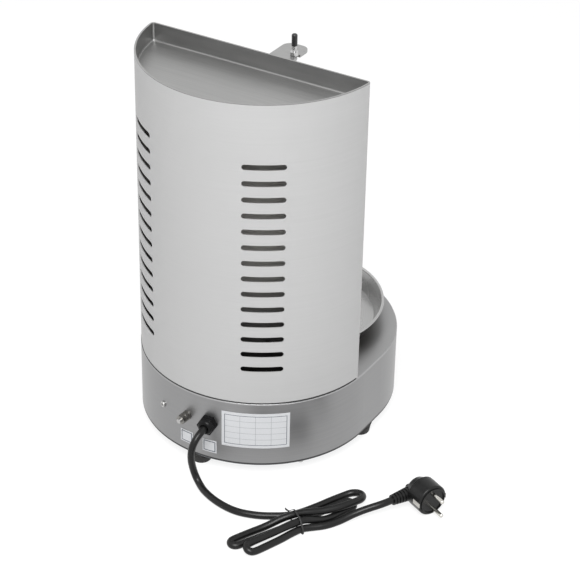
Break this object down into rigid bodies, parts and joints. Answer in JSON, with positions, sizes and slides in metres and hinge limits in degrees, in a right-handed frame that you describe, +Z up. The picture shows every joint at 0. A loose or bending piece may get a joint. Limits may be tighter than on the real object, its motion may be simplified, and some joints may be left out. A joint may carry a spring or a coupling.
{
  "type": "rotisserie oven",
  "caption": "Upright electric rotisserie broiler on a rounded drum base: vertical spit over a drip pan, slotted half-round rear shield with a warming tray on top, and a hanked mains cord.",
  "frame": {"origin": "on the floor under the middle of the base drum's length", "axes": "+Z up; -Y to the front, where the spit and the controls are; +Y to the rear shield and the cord; +X to the right as seen from the front"},
  "size_m": [0.4434, 0.4582, 0.485],
  "materials": {
    "base_steel": "brushed, darker from the light on it",
    "shield_steel": "fine satin",
    "tray_steel": "fine satin",
    "reflector_steel": "bright rolled",
    "pan_steel": "bright rolled",
    "bright_steel": "polished",
    "screw_steel": "zinc plated",
    "zinc_steel": "zinc plated sheet",
    "dark_metal": "black enamel",
    "bush_bronze": "plain bearing bronze",
    "element_sheath": "dark oxidised tube",
    "ceramic_white": "unglazed ceramic",
    "black_rubber": "matt",
    "black_plastic": "satin",
    "black_nylon": "satin",
    "white_plastic": "satin",
    "amber_lens": "clear amber",
    "label_white": "satin film",
    "cord_black": "satin",
    "tie_black": "satin",
    "nickel": "bright nickel"
  },
  "bodies": {
    "frame": {"base_shell": "base_steel", "bottom_plate": "zinc_steel", "bottom_plate_screws": "screw_steel", "rubber_foot_rear": "black_rubber", "rubber_foot_front": "black_rubber", "rubber_foot_left": "black_rubber", "rubber_foot_right": "black_rubber", "foot_fasteners": "screw_steel", "gear_motor": "dark_metal", "motor_bracket": "zinc_steel", "motor_screws": "screw_steel", "shaft_bush": "bush_bronze", "drip_pan": "pan_steel", "rear_shield": "shield_steel", "shield_screws": "screw_steel", "heat_reflector": "reflector_steel", "reflector_screws": "screw_steel", "element_left": "element_sheath", "element_right": "element_sheath", "element_bushes": "ceramic_white", "element_clips": "zinc_steel", "element_guard_left": "bright_steel", "element_guard_right": "bright_steel", "hood_panel": "shield_steel", "upper_arm": "bright_steel", "arm_bolts": "screw_steel", "arm_nuts": "screw_steel", "top_tray": "tray_steel", "thermostat_body": "black_plastic", "thermostat_nut": "screw_steel", "switch_housing": "black_plastic", "lamp_holder": "bright_steel", "lamp_lens": "amber_lens", "gland_body": "black_nylon", "gland_dome": "black_nylon", "gland_locknut": "black_nylon", "earth_stud": "screw_steel", "earth_nuts": "screw_steel", "rear_screw": "screw_steel", "terminal_plate": "zinc_steel", "terminal_block": "white_plastic", "wire_grommets": "black_rubber", "rating_plate": "label_white", "stickers": "label_white", "cord_lead": "cord_black", "cord_hank": "cord_black", "cord_tie": "tie_black", "plug_body": "cord_black", "plug_pins": "nickel", "plug_earth_strips": "nickel"},
    "spit": {"drive_shaft": "bright_steel", "turntable": "bright_steel", "spit_rod": "bright_steel", "spit_collar": "bright_steel", "spit_ferrule": "bright_steel", "spit_grip": "black_plastic"},
    "thermostat": {"thermostat_spindle": "bright_steel", "thermostat_knob": "black_plastic"},
    "rocker": {"switch_rocker": "black_plastic"}
  },
  "joints": [
    {"name": "spit_spin", "type": "hinge", "parent": "frame", "child": "spit", "pos_m": [0, -0.045, 0.102], "axis": [0, 0, 1], "continuous": true},
    {"name": "thermostat_turn", "type": "hinge", "parent": "frame", "child": "thermostat", "pos_m": [0, -0.166, 0.06], "axis": [0, -1, 0], "range_deg": [-270, 0]},
    {"name": "rocker_tilt", "type": "hinge", "parent": "frame", "child": "rocker", "pos_m": [0.06583, -0.1502, 0.06], "axis": [0.891, 0.454, 0], "range_deg": [-18, 0]}
  ]
}
